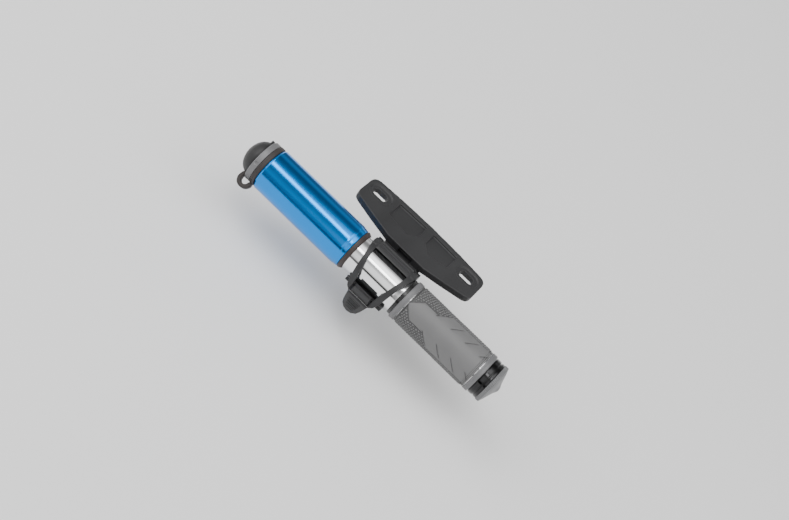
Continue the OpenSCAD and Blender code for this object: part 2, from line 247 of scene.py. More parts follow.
def plastic(name, colour, light, rough, grain, depth, metallic=0.0):
    """Spark-textured plastic with rubbed edges; depth is the bump strength."""
    s = Shader(name)
    fine = s.noise(scale=grain, detail=4, rough=0.65)
    specks = s.cells(grain * 0.7)
    cloud = s.noise(scale=70, detail=4, rough=0.55)
    base = s.tint(colour, light, cloud, amount=0.35)
    base = s.tint(base, light, s.wear(0.52, 0.60), amount=0.45)
    roughness = s.vary(cloud, rough - 0.06, rough + 0.08)
    height = s.calc("ADD", fine, s.calc("MULTIPLY", specks, 0.6))
    return s.finish(Base_Color=base, Metallic=metallic, Roughness=roughness,
                    Normal=s.bump(height, depth, GRAIN_DEPTH))


def patterned_rubber(name, colour, recess_shade, light, low, high):
    """Moulded rubber with painted shade: dark in the recesses at radius low (mm), its own lighter
    colour at radius high.
    """
    s = Shader(name)
    position = s.node("SeparateXYZ", {0: s.coords}).outputs
    dy = s.calc("SUBTRACT", position[1], AXIS.y)
    dz = s.calc("SUBTRACT", position[2], AXIS.z)
    squares = s.calc("ADD", s.calc("MULTIPLY", dy, dy), s.calc("MULTIPLY", dz, dz))
    # painted shade: the recess colour is mixed in by radius alone, darker the deeper the moulding
    raised = s.map_range(s.calc("SQRT", squares, 0.0), low * MM, high * MM)
    fine = s.noise(scale=2400, detail=3, rough=0.6)
    specks = s.cells(2000)
    cloud = s.noise(scale=90, detail=5, rough=0.6)
    base = s.mix(raised, recess_shade, s.tint(colour, light, cloud, amount=0.5))
    base = s.tint(base, light, s.wear(0.53, 0.60), amount=0.45)
    roughness = s.vary(cloud, 0.40, 0.52)
    height = s.calc("ADD", fine, s.calc("MULTIPLY", specks, 0.5))
    return s.finish(Base_Color=base, Roughness=roughness, Specular_IOR_Level=0.5,
                    Normal=s.bump(height, strength=0.22, distance=GRAIN_DEPTH))


ANODISED = metal("anodised_blue", (0.006, 0.260, 0.760), (0.004, 0.222, 0.680),
                 rough=0.16, spread=0.02, lines=3000, depth=0.06, coat=0.04, smudge=0.35)
POLISHED = metal("polished_alloy", (0.93, 0.935, 0.94), (0.86, 0.87, 0.88),
                 rough=0.10, spread=0.02, lines=3600, depth=0.05, smudge=0.4)
DRAWN_TUBE = metal("drawn_tube", (0.74, 0.75, 0.77), (0.62, 0.63, 0.65),
                   rough=0.22, spread=0.04, lines=2400, depth=0.10)
STEEL = metal("dull_steel", (0.42, 0.42, 0.43), (0.28, 0.28, 0.29),
              rough=0.36, spread=0.06, lines=2200, depth=0.2)
BRASS = metal("turned_brass", (0.72, 0.53, 0.24), (0.55, 0.39, 0.16),
              rough=0.27, spread=0.05, lines=2600, depth=0.16)
CHROME = metal("mirror_chrome", (0.86, 0.865, 0.875), (0.80, 0.81, 0.82),
               rough=0.05, spread=0.015, lines=3600, depth=0.02)
BLACK_CHROME = metal("black_chrome", (0.030, 0.030, 0.031), (0.020, 0.020, 0.021),
                     rough=0.06, spread=0.015, lines=3600, depth=0.02, coat=0.25)
SATIN_ALLOY = metal("satin_alloy", (0.58, 0.59, 0.61), (0.46, 0.47, 0.49),
                    rough=0.30, spread=0.05, lines=2600, depth=0.15)
SATIN_COLLAR = metal("satin_collar", (0.175, 0.175, 0.18), (0.125, 0.125, 0.13),
                     rough=0.50, spread=0.05, lines=1500, depth=0.35, metallic=0.30)
CAP_GREY = plastic("cap_grey", (0.150, 0.152, 0.155), (0.24, 0.24, 0.245),
                   rough=0.40, grain=2200, depth=0.18, metallic=0.25)
# the second colour is painted shade for the grip's recesses
GRIP = patterned_rubber("grip_rubber", (0.125, 0.125, 0.126), (0.034, 0.034, 0.0345),
                        (0.185, 0.185, 0.186), low=11.66, high=12.16)
WIPER = plastic("wiper_plastic", (0.026, 0.018, 0.016), (0.070, 0.046, 0.042),
                rough=0.42, grain=1700, depth=0.15)
TETHER = rubber("tether_rubber", (0.026, 0.022, 0.021), (0.075, 0.060, 0.056),
                rough=0.55, grain=2400, depth=0.25)
CAP_RUBBER = rubber("cap_rubber", (0.012, 0.012, 0.0125), (0.042, 0.042, 0.043),
                    rough=0.46, grain=2600, depth=0.20)
STRAP_RUBBER = rubber("strap_rubber", (0.017, 0.017, 0.018), (0.050, 0.050, 0.052),
                      rough=0.50, grain=2300, depth=0.25)
SEAL = rubber("seal_rubber", (0.012, 0.012, 0.012), (0.05, 0.05, 0.05),
              rough=0.40, grain=2800, depth=0.15)
HOSE = rubber("hose_rubber", (0.016, 0.016, 0.016), (0.06, 0.06, 0.06),
              rough=0.50, grain=1600, depth=0.35)
NYLON = plastic("bracket_nylon", (0.015, 0.015, 0.016), (0.048, 0.048, 0.050),
                rough=0.47, grain=1500, depth=0.30)
INNER_PLASTIC = plastic("inner_plastic", (0.06, 0.06, 0.064), (0.12, 0.12, 0.125),
                        rough=0.50, grain=1500, depth=0.2)
GAP_BLACK = plastic("gap_black", (0.006, 0.006, 0.006), (0.02, 0.02, 0.02),
                    rough=0.20, grain=1600, depth=0.05)


# ---------------------------------------------------------------- mesh helpers
def link_object(name, mesh):
    obj = bpy.data.objects.new(name, mesh)
    bpy.context.scene.collection.objects.link(obj)
    return obj


def clean_mesh(mesh, material, sharp=None):
    """Welds, shades smooth (sharp: crease angle in degrees) and gives one material."""
    bm = bmesh.new()
    bm.from_mesh(mesh)
    bmesh.ops.remove_doubles(bm, verts=bm.verts, dist=1e-7)
    bmesh.ops.dissolve_degenerate(bm, edges=bm.edges, dist=1e-8)
    bmesh.ops.recalc_face_normals(bm, faces=bm.faces)
    bm.to_mesh(mesh)
    bm.free()
    mesh.polygons.foreach_set("use_smooth", [True] * len(mesh.polygons))
    if sharp is not None:
        mesh.set_sharp_from_angle(angle=math.radians(sharp))
    mesh.materials.clear()
    mesh.materials.append(material)
    mesh.update()


def mesh_object(name, vertices, faces, material, sharp):
    mesh = bpy.data.meshes.new(name)
    mesh.from_pydata([tuple(p) for p in vertices], [], faces)
    clean_mesh(mesh, material, sharp)
    return link_object(name, mesh)


def round_corners(points, radii, steps):
    """Rounds the corners of a closed 2D loop; radii is one number or one per corner."""
    points = [np.array(p, float) for p in points]
    if isinstance(radii, (int, float)):
        radii = [radii] * len(points)
    rounded = []
    for i, corner in enumerate(points):
        if radii[i] <= 0 or corner[1] < 1e-6:
            rounded.append(corner)
            continue
        before = points[i - 1] - corner
        after = points[(i + 1) % len(points)] - corner
        before_length = np.linalg.norm(before)
        after_length = np.linalg.norm(after)
        before = before / before_length
        after = after / after_length
        half = math.acos(float(np.clip(before @ after, -1, 1))) / 2
        if half > math.radians(88):     # nearly straight
            rounded.append(corner)
            continue
        cut = min(radii[i] / math.tan(half), 0.45 * before_length, 0.45 * after_length)
        start = corner + before * cut
        end = corner + after * cut
        for step in range(steps + 1):
            t = step / steps
            rounded.append((1 - t) ** 2 * start + 2 * t * (1 - t) * corner + t * t * end)
    return np.array(rounded)


def hold_runs(loop, shortest=1.2, inset=0.12):
    """Adds points near both ends of long straight runs, which keeps their shading flat."""
    held = []
    for i, start in enumerate(loop):
        end = loop[(i + 1) % len(loop)]
        held.append(start)
        length = np.linalg.norm(end - start)
        if length > shortest:
            held += [start + (end - start) * (inset / length),
                     end - (end - start) * (inset / length)]
    return np.array(held)


def turned_grid(name, X, P, R, material, sharp):
    """Skin of a closed profile turned round the axis: x, angle and radius per [point, turn]."""
    count, segments = R.shape
    points = np.stack([X, R * np.sin(P), R * np.cos(P)], -1).reshape(-1, 3)
    faces = []
    for i in range(count):
        i2 = (i + 1) % count
        if R[i, 0] < 1e-6 and R[i2, 0] < 1e-6:
            continue
        for j in range(segments):
            j2 = (j + 1) % segments
            faces.append((i * segments + j, i2 * segments + j,
                          i2 * segments + j2, i * segments + j2))
    return mesh_object(name, to_world(points), faces, material, sharp)


def revolve(name, profile, material, segments=160, corners=0.15, steps=4, reshape=None,
            sharp=34):
    """Turns a closed (x, radius) profile in mm; reshape(X, P, R) may change the radius."""
    loop = round_corners(profile, corners, steps) if corners else np.array(profile, float)
    loop = hold_runs(loop)
    X = np.repeat(loop[:, 0][:, None], segments, 1)
    R = np.repeat(loop[:, 1][:, None], segments, 1)
    P = np.repeat((np.arange(segments) * TURN / segments)[None, :], len(loop), 0)
    if reshape is not None:
        R = reshape(X, P, R)
    return turned_grid(name, X, P, R, material, sharp)


def fit(obj, body, slot, *nodes):
    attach(obj, body)
    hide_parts(*nodes)


def turned_piece(node, body, slot, material, profile, **options):
    fit(revolve(node + "_skin", profile, material, **options), body, slot, node)


def tube_faces(ring_count, k):
    """Sides and both ends of a stack of rings with k points each."""
    faces = []
    for i in range(ring_count - 1):
        for j in range(k):
            j2 = (j + 1) % k
            faces.append((i * k + j, (i + 1) * k + j, (i + 1) * k + j2, i * k + j2))
    faces.append(tuple(range(k)))
    faces.append(tuple((ring_count - 1) * k + j for j in reversed(range(k))))
    return faces


def sweep(stations):
    """Closed tube through (point in m, u direction, w direction, (u, w) outline in mm)."""
    vertices = [np.array(point) + np.array(u_dir) * (u * MM) + np.array(w_dir) * (w * MM)
                for point, u_dir, w_dir, outline in stations for u, w in outline]
    return vertices, tube_faces(len(stations), len(stations[0][3]))


def rounded_rectangle(half_u, half_w, radius, steps=4):
    u, w = half_u - radius, half_w - radius
    outline = []
    for centre_u, centre_w, start in ((u, w, 0), (-u, w, 90), (-u, -w, 180), (u, -w, 270)):
        for step in range(steps + 1):
            t = math.radians(start + 90 * step / steps)
            outline.append((centre_u + radius * math.cos(t), centre_w + radius * math.sin(t)))
    return outline


def mesh_data(obj):
    vertices = np.array([v.co for v in obj.data.vertices], float)
    return vertices, [tuple(p.vertices) for p in obj.data.polygons]


def cad_data(node):
    return mesh_data(frame["nodes"][node])


def fused(name, parts, material, voxel, iterations, factor=0.5):
    """Joins closed (vertices in m, faces) parts, voxel-remeshes and softens them."""
    vertices, faces = [], []
    for part_vertices, part_faces in parts:
        base = len(vertices)
        vertices.extend(tuple(p) for p in part_vertices)
        faces.extend(tuple(i + base for i in face) for face in part_faces)
    raw_mesh = bpy.data.meshes.new(name + "_raw")
    raw_mesh.from_pydata(vertices, [], faces)
    raw_mesh.update()
    raw = link_object(name + "_raw", raw_mesh)
    remesh = raw.modifiers.new("r", "REMESH")
    remesh.mode = "VOXEL"
    remesh.voxel_size = voxel
    remesh.adaptivity = 0
    smooth = raw.modifiers.new("s", "SMOOTH")
    smooth.factor = factor
    smooth.iterations = iterations
    depsgraph = bpy.context.evaluated_depsgraph_get()
    mesh = bpy.data.meshes.new_from_object(raw.evaluated_get(depsgraph))
    bpy.data.objects.remove(raw)
    mesh.name = name
    clean_mesh(mesh, material)
    return link_object(name, mesh)


# ---------------------------------------------------------------- sleeve, wiper, barrel
# Profiles of turned pieces are closed loops of (x, radius) in mm.
SLEEVE_END = x_span("outer_sleeve")[1]


def build_sleeve():
    start, end = x_span("outer_sleeve")
    bore = 11.62
    radius = outer_radius("outer_sleeve")
    profile = [
        (start, bore), (start, radius - 0.72), (start + 1.25, radius), (end - 4.0, radius),
        (end - 3.2, radius - 0.07), (end - 2.4, radius - 0.34), (end - 1.0, radius - 0.42),
        (end - 0.25, radius - 0.62), (end, radius - 0.95), (end, bore)]
    turned_piece("outer_sleeve", "handle", "anodised_sleeve", ANODISED, profile, segments=256,
                 corners=[0.1, 0.25, 0.35, 0.5, 0.6, 0.6, 0.4, 0.3, 0.15, 0.1], steps=5,
                 sharp=50)


def build_wiper():
    start, end = x_span("wiper_ring")
    bore, neck = 10.84, 11.55
    lip = SLEEVE_END
    profile = [
        (start, bore), (start, neck), (lip + 0.04, neck), (lip + 0.04, 12.02),
        (lip + 0.35, 12.28), (lip + 0.95, 12.26), (lip + 1.25, 12.02), (lip + 1.6, 11.95),
        (lip + 2.2, 11.6), (end - 0.1, 11.2), (end, bore)]
    turned_piece("wiper_ring", "handle", "wiper_plastic", WIPER, profile, segments=192,
                 corners=0.18, sharp=50)


def build_barrel():
    start, end = x_span("inner_barrel")
    bore = 9.75
    # (x, rise above the barrel) of a flare that ends in a step
    flare = [(12.6, 0.03), (13.3, 0.09), (13.9, 0.17), (14.4, 0.25), (14.66, 0.30)]
    profile = [(start, bore), (start, BARREL_R), (11.9, BARREL_R)]
    profile += [(x, BARREL_R + rise) for x, rise in flare]
    profile += [(14.67, BARREL_R), (end, BARREL_R), (end, bore)]
    turned_piece("inner_barrel", "barrel", "polished_barrel", POLISHED, profile, segments=256,
                 corners=[0.25, 0.25, 0, 0, 0, 0, 0, 0, 0, 0, 0.25], sharp=40)


build_sleeve()
build_wiper()
build_barrel()

# ---------------------------------------------------------------- end collar and set screw
# The collar and dust cap tables start at x = -88.8; this shift moves them to the CAD collar.
END_SHIFT = x_span("end_collar")[0] + 88.8
COLLAR_R = 12.5
SCREW_X = -86.0 + END_SHIFT
SCREW_ANGLE = math.radians(-14)   # from OUT towards ACROSS


def screw_cup(X, P, R):
    """Sinks a shallow cup into the collar's rim round the set screw."""
    cup_radius, cup_depth = 1.25, 0.55
    arc = (P - SCREW_ANGLE + math.pi) % TURN * COLLAR_R - math.pi * COLLAR_R
    distance = np.hypot(X - SCREW_X, arc)
    cup = np.clip(1 - (distance / cup_radius) ** 4, 0, 1)
    return np.where(R > 12.2, R - cup_depth * cup, R)


def build_end_collar():
    profile = [(-88.8, 8.0), (-88.8, 8.85), (-87.7, 8.85), (-87.7, 12.05), (-87.25, COLLAR_R)]
    profile += [(x, COLLAR_R) for x in np.arange(-87.1, -84.8, 0.12)]
    profile += [(-84.62, COLLAR_R), (-84.3, 12.25), (-84.3, 11.55), (-79.2, 11.55),
                (-79.2, 6.6), (-84.5, 6.6)]
    turned_piece("end_collar", "handle", "grey_collar", SATIN_COLLAR,
                 [(x + END_SHIFT, r) for x, r in profile],
                 segments=512, corners=0.12, steps=3, reshape=screw_cup, sharp=40)


def build_set_screw():
    """Set screw with a hexagonal socket, lofted ring by ring."""
    foot = 10.5       # distance of the screw's foot from the pump axis
    segments = 48
    # radius, height above the foot, whether hexagonal
    rings = [(0.02, 0, False), (0.90, 0, False), (0.93, 0.05, False), (0.93, 1.30, False),
             (0.84, 1.42, False), (0.56, 1.42, False), (0.50, 1.38, True),
             (0.50, 0.75, True), (0.02, 0.70, False)]
    centre = place(SCREW_X, 0, 0)
    axis = (ACROSS * math.sin(SCREW_ANGLE) + OUT * math.cos(SCREW_ANGLE)).normalized()
    side = axis.cross(ALONG).normalized()
    vertices = []
    for radius, height, hexagonal in rings:
        for j in range(segments):
            t = TURN * j / segments
            r = radius
            if hexagonal:
                r = radius * math.cos(math.pi / 6) / math.cos(t % (math.pi / 3) - math.pi / 6)
            vertices.append(centre + axis * ((foot + height) * MM)
                            + ALONG * (r * math.cos(t) * MM) + side * (r * math.sin(t) * MM))
    screw = mesh_object("set_screw", vertices, tube_faces(len(rings), segments), STEEL,
                        sharp=30)
    fit(screw, "handle", "small_steel", "collar_set_screw")


build_end_collar()
build_set_screw()


# ---------------------------------------------------------------- tether band and loop
def build_tether_band():
    end = x_span("tether_ring")[1]
    start = end - 2.7
    bore = 11.6
    profile = [
        (start + 0.02, bore), (start + 0.02, 12.35), (start + 0.35, 12.60),
        (start + 1.1, 12.64), (start + 1.3, 12.50), (start + 1.5, 12.64),
        (end - 0.35, 12.60), (end - 0.02, 12.35), (end - 0.02, bore)]
    band = revolve("tether_band", profile, TETHER, segments=192, corners=0.2, sharp=50)
    fit(band, "handle", "tether_rubber", "tether_ring", "tether_pin")


def build_tether_loop():
    """Strip that starts on the band, arches round the flip pin and ends on the cap rim."""
    pin_x, pin_across, _ = to_pump(JOINTS["cap_flip"]["pos_m"])
    arch_centre, arch_radius = 13.5, 3.28
    arch_steps = 28
    # x from the pin, distance from the pump axis, half thickness, half width
    stations = [(4.0, 12.35, 0.35, 2.5), (3.6, 12.75, 0.8, 2.6)]
    for k in range(arch_steps + 1):
        t = math.radians(180 * k / arch_steps)
        stations.append((arch_radius * math.cos(t), arch_centre + arch_radius * math.sin(t),
                         1.14 + 0.08 * abs(math.cos(t)), 2.55))
    stations += [(-arch_radius, 12.7, 1.15, 2.6), (-3.2, 11.9, 1.1, 2.7),
                 (-3.05, 11.0, 0.95, 2.8), (-2.9, 10.1, 0.7, 2.8)]
    line = np.array([(pin_x + s[0], s[1]) for s in stations])
    swept = []
    for i, (_, _, half_thick, half_width) in enumerate(stations):
        x, depth = line[i]
        tangent = line[min(i + 1, len(line) - 1)] - line[max(i - 1, 0)]
        tangent = tangent / np.linalg.norm(tangent)
        normal = ALONG * -tangent[1] - ACROSS * tangent[0]
        outline = rounded_rectangle(half_thick, half_width, min(0.7, half_thick * 0.7))
        swept.append((place(x, -depth, 0), normal, OUT, outline))
    loop = mesh_object("tether_loop", *sweep(swept), TETHER, sharp=50)
    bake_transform(loop)


build_tether_band()
build_tether_loop()


# ---------------------------------------------------------------- rubber dust cap
def build_dust_cap():
    apex = x_span("dust_cap")[0] - END_SHIFT
    profile = [
        (-87.75, 9.15), (-87.75, 10.35),                                    # rim
        (-88.5, 10.5), (-89.3, 10.38), (-90.4, 10.0), (-91.6, 9.35), (-92.8, 8.42),
        (-93.9, 7.15), (-94.8, 5.5), (-95.45, 3.7), (-95.85, 1.8), (apex, 0.0),
        (-94.8, 0.0), (-94.6, 2.4), (-94.2, 4.6), (-93.0, 7.1), (-91.2, 8.5),   # inside
        (-89.2, 9.15)]
    dome = revolve("dust_cap_shell", [(x + END_SHIFT, r) for x, r in profile], CAP_RUBBER,
                   corners=0.6, sharp=60)
    dome_data = mesh_data(dome)
    bpy.data.objects.remove(dome)
    # pull lip: a rounded tab that narrows away from the rim
    lip = []
    for k in range(7):
        t = k / 6
        point = place(-89.1 - 0.35 * t * t + END_SHIFT, 9.5 + 2.35 * t, 0)
        half_width = 2.7 * (1 - 0.55 * t ** 3)
        lip.append((point, ALONG, OUT, rounded_rectangle(0.80 - 0.15 * t, half_width, 0.4)))
    cap = fused("dust_cap_skin", [dome_data, sweep(lip)], CAP_RUBBER, voxel=0.00022,
                iterations=6)
    fit(cap, "cap", "cap_rubber", "dust_cap")


build_dust_cap()


# ---------------------------------------------------------------- rings at the grip end
def plain_ring(node, body, slot, material, bore, segments):
    start, end = x_span(node)
    radius = outer_radius(node)
    profile = [(start, bore), (start, radius), (end, radius), (end, bore)]
    turned_piece(node, body, slot, material, profile, segments=segments, corners=0.2, steps=5)


def build_grip_collars():
    bore = 10.82
    start, end = x_span("grip_front_collar")
    front = [
        (start, bore), (start, 11.85), (start + 0.35, 12.2), (end - 1.15, 12.2),
        (end - 0.95, 12.0), (end - 0.75, 12.2), (end - 0.1, 12.2), (end, 12.1), (end, bore)]
    start, end = x_span("grip_rear_collar")
    step_x, rod_bore = 72.1, 4.1
    rear = [
        (start, bore), (start, 12.0), (start + 0.12, 12.12), (start + 1.1, 12.12),
        (start + 1.25, 11.95), (start + 1.4, 12.12), (end - 0.35, 12.12), (end, 11.8),
        (end, rod_bore), (step_x, rod_bore), (step_x, bore)]
    for node, profile in (("grip_front_collar", front), ("grip_rear_collar", rear)):
        turned_piece(node, "barrel", "grey_collar", SATIN_COLLAR, profile, segments=192,
                     corners=0.12, sharp=40)


def build_chrome_band(node):
    start, end = x_span(node)
    radius = outer_radius(node)
    bore = 4.1
    profile = [
        (start, bore), (start, radius - 0.35), (start + 0.3, radius - 0.05),
        (start + 0.6, radius), (end - 0.6, radius), (end - 0.3, radius - 0.05),
        (end, radius - 0.35), (end, bore)]
    turned_piece(node, "barrel", "chrome_band", BLACK_CHROME, profile, segments=192,
                 corners=0.3, sharp=60)


def knurl(X, P, R):
    """Cuts grooves along x into the end cap's rim, fading at both ends."""
    groove_count, depth = 64, 0.30
    on_rim = (R > 10.9) & (X > 78.85) & (X < 81.5)
    saw = np.abs(((P * groove_count / TURN) % 1) - 0.5) * 2
    cut = np.clip((saw - 0.45) / 0.4, 0, 1)
    fade = np.clip((X - 78.95) / 0.35, 0, 1) * np.clip((81.35 - X) / 0.35, 0, 1)
    return np.where(on_rim, R - depth * cut * np.clip(fade + 0.25, 0, 1), R)


def build_end_cap():
    """Knurled cap with a shallow cone and turning steps on its end face."""
    start, end = x_span("end_cap")
    profile = [(start, 0.0), (start, 3.98), (78.83, 3.98), (78.83, 11.35), (79.1, 11.68)]
    profile += [(x, 11.7) for x in np.arange(79.25, 80.95, 0.14)]
    profile += [(81.05, 11.68), (81.3, 11.35), (81.75, 9.9), (81.82, 9.75), (82.0, 9.6),
                (83.9, 3.4), (84.05, 3.15), (84.1, 3.0), (end - 0.1, 1.2), (end, 0.0)]
    turned_piece("end_cap", "barrel", "cap_grey", CAP_GREY, profile, segments=768,
                 corners=0.1, steps=3, reshape=knurl, sharp=28)


plain_ring("gap_ring", "barrel", "gap_black", GAP_BLACK, bore=BARREL_R + 0.05, segments=192)
build_grip_collars()
build_chrome_band("chrome_band_inner")
build_chrome_band("chrome_band_outer")
build_end_cap()


# ---------------------------------------------------------------- moulded grip
def ease(start, end, t):
    """Smooth step from 0 at start to 1 at end."""
    t = np.clip((t - start) / (end - start), 0, 1)
    return t * t * (3 - 2 * t)


def dots(X, arc):
    """Domes of height 0 to 1 in staggered rows, slightly turned and wavering."""
    pitch, dot_radius = 1.62, 0.62
    row_pitch = pitch * 0.866
    waver = 0.10 * np.sin(X * 2.3 + arc * 1.1) + 0.08 * np.sin(arc * 3.1 - X * 1.7)
    column = (arc * 0.97 + X * 0.24 + waver) / pitch
    line = (X * 0.97 - arc * 0.24 + waver) / row_pitch
    row = np.floor(line + 0.5)
    column = column - 0.5 * (row % 2)
    across = (column - np.floor(column + 0.5)) * pitch
    along = (line - row) * row_pitch
    return np.clip(1 - (across * across + along * along) / dot_radius ** 2, 0, 1) ** 0.6


def grip_relief(X, P, radius, start, end):
    """Height of the grip's pattern over its radius: arrow panel, feathers, dots, rings."""
    arrow_tip = 21.1
    panel_half_width = 5.9
    feather_x, feather_pitch = 34.6, 10.15
    feather_edge = 12.4
    dot_height = 0.46
    groove_depth, groove_width = 0.42, 0.34
    arc = ((P + math.pi) % TURN - math.pi) * radius   # from the line facing OUT
    away = np.abs(arc)

    # signed distance into the arrow panel: a diagonal nose, then straight sides
    inside = np.minimum((X - arrow_tip - away) / math.sqrt(2), panel_half_width - away)
    skew = X - (away - 5.2) * 1.02
    feather = skew > feather_x
    field = (inside < 0) & ~feather
    height = np.where(field, -0.55 * (1 - ease(-1.15, 0.0, inside)), 0.0)

    ends_fade = ease(start + 0.9, start + 1.5, X) * (1 - ease(end - 1.5, end - 0.9, X))
    dot_relief = dot_height * dots(X, arc) * ends_fade
    height = height + np.where(field & (inside < -1.2), dot_relief, 0)

    # feathers: overlapping scales with a groove along each leading line
    phase = (skew - feather_x) / feather_pitch
    behind = (phase - np.floor(phase)) * feather_pitch
    scale = -0.20 * (1 - ease(0.0, 4.6, behind)) * ease(-0.35, 0.25, behind)
    for distance in (behind, behind - feather_pitch):
        scale = scale - groove_depth * np.exp(-(distance / groove_width) ** 2)
    side_fade = ease(5.1, 6.1, away) * (1 - ease(10.9, feather_edge, away))
    height = np.where(feather & (away > 5.0), scale * side_fade, height)
    beyond = (-0.45 * ease(feather_edge, feather_edge + 1.0, away)
              + dot_relief * ease(13.2, 13.8, away))
    height = np.where(feather & (away >= feather_edge), beyond, height)

    # ring grooves near both ends: x, depth, width
    for x, depth, width in ((end - 1.05, 0.32, 0.17), (end - 1.9, 0.32, 0.17),
                            (start + 0.75, 0.30, 0.16)):
        height = height - depth * np.exp(-((X - x) / width) ** 2)
    return height


def build_grip():
    start, end = x_span("rubber_grip")
    radius = outer_radius("rubber_grip")
    segments, stations = 420, 250
    angles = np.arange(segments) * TURN / segments
    xs = np.linspace(start + 0.45, end - 0.45, stations)
    X, P = np.meshgrid(xs, angles, indexing="ij")
    # each end closes with a low shoulder and the bore
    bore = np.full((1, segments), BARREL_R + 0.06)
    shoulder = np.full((1, segments), radius - 0.55)
    surface = radius + grip_relief(X, P, radius, start, end)
    R = np.vstack([bore, shoulder, surface, shoulder, bore])
    X, P = np.meshgrid([start, start, *xs, end, end], angles, indexing="ij")
    grip = turned_grid("rubber_grip_skin", X, P, R, GRIP, sharp=60)
    fit(grip, "barrel", "grip_rubber", "rubber_grip")


build_grip()

# ---------------------------------------------------------------- bracket
STRAP_X = sum(x_span("strap")) / 2


def centred(half):
    return STRAP_X - half, STRAP_X + half


def pair(near, far):
    """Two x spans, one each side of the strap's middle."""
    return (STRAP_X - far, STRAP_X - near), (STRAP_X + near, STRAP_X + far)


def prism(outline, span):
    """Prism along x over an (across, out) outline."""
    n = len(outline)
    vertices = [place(x, across, out) for x in span for across, out in outline]
    faces = [tuple(range(n - 1, -1, -1)), tuple(range(n, 2 * n))]
    faces += [(i, (i + 1) % n, n + (i + 1) % n, n + i) for i in range(n)]
    return vertices, faces


def build_bracket():
    wide_block = [(-11.2, 1.0), (-11.2, 4.4), (-11.9, 4.4), (-12.3, 1.0)]
    tall_block = [(-11.4, 1.0), (-11.4, 5.6), (-12.1, 5.6), (-12.5, 1.0)]
    shelf = [(-11.4, -3.0), (-11.4, 0.3), (-16.6, 0.3), (-16.6, -0.6), (-12.6, -4.4)]
    parts = [cad_data("bracket_body")]
    parts += [prism(wide_block, span) for span in pair(5.3, 12.3)]
    parts += [prism(tall_block, span) for span in pair(5.2, 6.9)]
    parts.append(prism(shelf, centred(7.6)))
    bracket = fused("bracket_skin", parts, NYLON, voxel=0.00030, iterations=3)
    fit(bracket, "bracket", "bracket_nylon", "bracket_body")


def build_cradle_pad():
    pad = fused("cradle_pad_skin", [cad_data("cradle_pad")], SEAL, voxel=0.00028,
                iterations=2, factor=0.4)
    fit(pad, "bracket", "seal_rubber", "cradle_pad")


build_bracket()
build_cradle_pad()

# ---------------------------------------------------------------- strap
STRAP_INNER = BARREL_R + 0.4
STRAP_OUTER = STRAP_INNER + 2.2


def arc_block(start, end, span, inner, outer, steps=10):
    """Block bent round the axis between two angles in degrees, from OUT towards ACROSS."""
    x0, x1 = span
    vertices = []
    for i in range(steps + 1):
        a = math.radians(start + (end - start) * i / steps)
        for r, x in ((inner, x0), (outer, x0), (outer, x1), (inner, x1)):
            vertices.append(place(x, r * math.sin(a), r * math.cos(a)))
    return vertices, tube_faces(steps + 1, 4)


def slab(span, start, end, thickness, lift):
    """Bar between two (across, out) points, lifted off the line that joins them."""
    start, end = np.array(start), np.array(end)
    direction = (end - start) / np.linalg.norm(end - start)
    normal = np.array([-direction[1], direction[0]])
    if normal[1] < 0:
        normal = -normal
    x0, x1 = span
    top = lift + thickness
    vertices = []
    for point in (start, end):
        for x, height in ((x0, lift), (x0, top), (x1, top), (x1, lift)):
            vertices.append(place(x, *(point + normal * height)))
    return vertices, tube_faces(2, 4)


def shoulder_slabs():
    """Fuller shoulders where the arms run into the pull tab."""
    parts = []
    # outer half width, across at start, across at end
    for half, *ends in ((8.7, -13.9, -14.9), (8.0, -14.9, -15.6)):
        start, end = ((across, 9.65 + (across + 7.54) * 0.7815) for across in ends)
        parts += [slab(span, start, end, thickness=2.0, lift=-1.0)
                  for span in pair(6.9, half)]
    return parts


def tab_ribs():
    """Grip ribs on the pull tab."""
    parts = []
    half_length = 0.28
    for across, half in ((-19.3, 3.6), (-20.6, 3.4), (-21.9, 3.0), (-23.2, 2.3)):
        out = 2.3 + (-16.9 - across) * (1.3 / 9.1)
        parts.append(slab(centred(half), (across + half_length, out - 0.04),
                          (across - half_length, out + 0.04), thickness=1.1, lift=0.55))
    return parts


def build_strap():
    """One moulded rubber piece that folds over the saddle."""
    parts = [cad_data("strap"), cad_data("strap_anchor")]
    parts += [arc_block(70, 83, span, STRAP_INNER + 0.02, STRAP_OUTER - 0.02)
              for span in pair(11.65, 14.95)]
    parts += shoulder_slabs()
    # raised arms and moulded bars over the saddle
    parts += [arc_block(49, 84, span, STRAP_OUTER - 0.3, STRAP_OUTER + 0.35)
              for span in pair(12.1, 14.5)]
    for start, end in ((44.6, 46.8), (49.8, 52.0), (55.0, 57.4), (62.4, 70.5)):
        parts.append(arc_block(start, end, centred(11.0), STRAP_OUTER - 0.3,
                               STRAP_OUTER + 0.42))
    parts += tab_ribs()
    # bead across the fold
    parts.append(slab(centred(6.6), (-16.95, 2.25), (-17.6, 2.42), thickness=1.05, lift=0.6))
    strap = fused("rubber_strap", parts, STRAP_RUBBER, voxel=0.00022, iterations=3)
    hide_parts("strap", "strap_anchor")
    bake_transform(strap)


build_strap()


# ---------------------------------------------------------------- inner pieces
def braid(X, P, R):
    """Crossed ripple on the outside of the hose."""
    weave = np.sin(P * 10 + X * 1.9) * np.sin(P * 10 - X * 1.9)
    return np.where(R > 2.5, R - 0.05 + 0.045 * weave, R)


def build_hose():
    start, end = x_span("air_hose")
    bore, end_radius, radius = 1.3, 2.75, 2.9
    profile = [(start, bore), (start, end_radius)]
    profile += [(x, radius) for x in np.arange(start + 0.3, end - 0.3, 0.4)]
    profile += [(end, end_radius), (end, bore)]
    turned_piece("air_hose", "hose", "hose_rubber", HOSE, profile, segments=96, corners=0,
                 reshape=braid, sharp=50)


